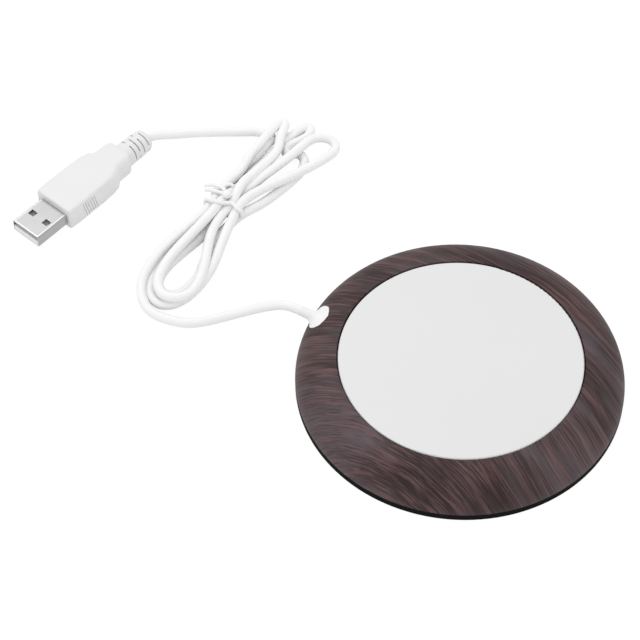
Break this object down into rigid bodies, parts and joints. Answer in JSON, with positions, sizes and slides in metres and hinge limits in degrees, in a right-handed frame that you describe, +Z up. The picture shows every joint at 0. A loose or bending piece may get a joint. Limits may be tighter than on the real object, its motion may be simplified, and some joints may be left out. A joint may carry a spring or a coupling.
{
  "type": "electric mug warmer",
  "caption": "Low round USB mug warmer: heated aluminium plate in a domed wood-look ring on a foam foot, with its cord tied in a hank and a USB plug.",
  "frame": {"origin": "centre of the underside of the foot pad, on the surface the warmer stands on; the cord and plug are left out of the measure", "axes": "+Z up out of the heating plate, -X where the cord leaves the warmer, +Y to the far side"},
  "size_m": [0.2117, 0.1385, 0.013],
  "materials": {
    "ring_cover": "satin dark wood-grain finish",
    "heating_plate": "smooth satin pale grey coating",
    "seal": "matte black silicone",
    "heater_film": "amber polyimide film",
    "heater_track": "etched foil",
    "solder": "bright solder",
    "insulation": "pressed fibre felt",
    "heat_shield": "bright rolled sheet",
    "base_plate": "fine matte",
    "screws": "zinc plated",
    "foot_pad": "rough matte foam rubber",
    "grommet": "satin",
    "cord": "satin soft PVC",
    "wire_red": "satin",
    "wire_black": "satin",
    "twist_tie": "satin plastic-coated wire",
    "plug_shell": "bright nickel plate",
    "plug_tongue": "smooth",
    "plug_contacts": "gold plate",
    "plug_inner_mould": "matte",
    "plug_body": "satin soft PVC"
  },
  "bodies": {
    "root": {"ring_cover": "ring_cover", "heating_plate": "heating_plate", "plate_seal": "seal", "heater_film": "heater_film", "heater_track": "heater_track", "solder_joints": "solder", "insulation_pad": "insulation", "heat_shield": "heat_shield", "base_plate": "base_plate", "base_screws": "screws", "clamp_screws": "screws", "foot_pad": "foot_pad", "cord_grommet": "grommet", "cord_inner_end": "cord", "cord_clamp": "base_plate", "lead_wire_red": "wire_red", "lead_wire_black": "wire_black", "cord_lead": "cord", "cord_hank": "cord", "cord_tail": "cord", "twist_tie": "twist_tie", "plug_shell": "plug_shell", "plug_tongue": "plug_tongue", "plug_contacts": "plug_contacts", "plug_inner_mould": "plug_inner_mould", "plug_body": "plug_body", "plug_strain_relief": "plug_body"}
  },
  "joints": []
}
